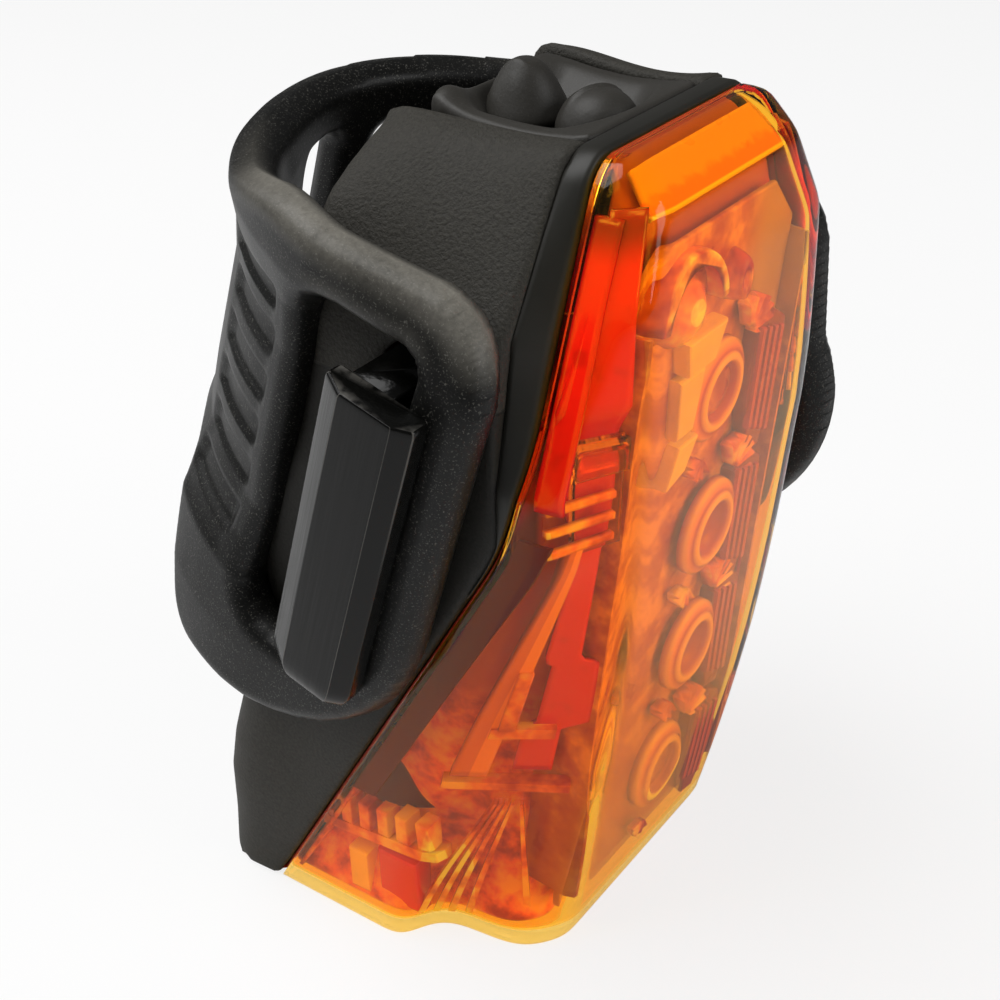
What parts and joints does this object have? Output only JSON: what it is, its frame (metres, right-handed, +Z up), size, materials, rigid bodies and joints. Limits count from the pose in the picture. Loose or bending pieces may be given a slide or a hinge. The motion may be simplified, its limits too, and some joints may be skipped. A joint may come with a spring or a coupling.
{
  "type": "bike tail light",
  "caption": "Compact tail light with an amber faceted lens, rubber push buttons on top, side hooks and a rubber ladder strap that goes round a seat post.",
  "frame": {"origin": "middle of the flat base, on the mirror plane", "axes": "+Z up along the light, -Y out of the lens, +X to the right seen from the lens side"},
  "size_m": [0.0504, 0.0459, 0.0685],
  "materials": {
    "housing": "fine grain",
    "rim": "satin",
    "seal": "matt",
    "lens": "clear amber",
    "clear": "clear",
    "red_guide": "clear red",
    "light_bar": "clear amber",
    "board": "solder mask",
    "circuit": "solder mask",
    "emitter": "phosphor",
    "chassis": "matt",
    "barrel": "satin",
    "line_lens": "clear",
    "cell": "foil",
    "wire": "insulated",
    "chip": "matt",
    "switch": "matt",
    "socket": "plain",
    "cover_rubber": "matt",
    "strap_rubber": "matt",
    "hook": "gloss",
    "screw": "dark"
  },
  "bodies": {
    "case": {"rear_housing": "housing", "lens_rim": "rim", "lens_seal": "seal", "front_lens": "lens", "led_optic": "clear", "light_guide_left": "red_guide", "light_guide_right": "red_guide", "side_prism_left": "light_bar", "side_prism_right": "light_bar", "led_board": "board", "led_emitters": "emitter", "side_emitters": "emitter", "inner_frame": "chassis", "laser_module_left": "barrel", "laser_module_right": "barrel", "laser_lens_left": "line_lens", "laser_lens_right": "line_lens", "laser_bracket": "chassis", "battery_cell": "cell", "battery_leads": "wire", "main_board": "circuit", "board_chips": "chip", "switch_board": "circuit", "light_switch": "switch", "laser_switch": "switch", "button_cover": "cover_rubber", "charge_socket": "socket", "cover_pin": "screw", "saddle_pad": "cover_rubber", "mounting_strap": "strap_rubber", "strap_hook_left": "hook", "strap_hook_right": "hook", "case_screws": "screw"},
    "light_button_body": {"light_button": "cover_rubber"},
    "laser_button_body": {"laser_button": "cover_rubber"},
    "light_plunger_body": {"light_plunger": "switch"},
    "laser_plunger_body": {"laser_plunger": "switch"},
    "charge_cover_body": {"charge_cover": "cover_rubber"}
  },
  "joints": [
    {"name": "light_button_press", "type": "slide", "parent": "case", "child": "light_button_body", "axis": [0, 0, -1], "range_m": [0, 0.0006], "stiffness_N_per_m": 1500, "springref_m": -0.0002},
    {"name": "laser_button_press", "type": "slide", "parent": "case", "child": "laser_button_body", "axis": [0, 0, -1], "range_m": [0, 0.0006], "stiffness_N_per_m": 1500, "springref_m": -0.0002},
    {"name": "light_plunger_press", "type": "slide", "parent": "case", "child": "light_plunger_body", "axis": [0, 0, -1], "range_m": [0, 0.0003]},
    {"name": "laser_plunger_press", "type": "slide", "parent": "case", "child": "laser_plunger_body", "axis": [0, 0, -1], "range_m": [0, 0.0003]},
    {"name": "charge_cover_hinge", "type": "hinge", "parent": "case", "child": "charge_cover_body", "pos_m": [0, 0.01231, 0.01263], "axis": [1, 0, 0], "range_deg": [0, 100]}
  ],
  "couplings": [
    {"joint": "light_plunger_press", "follows": "light_button_press", "ratio": 0.5},
    {"joint": "laser_plunger_press", "follows": "laser_button_press", "ratio": 0.5}
  ]
}
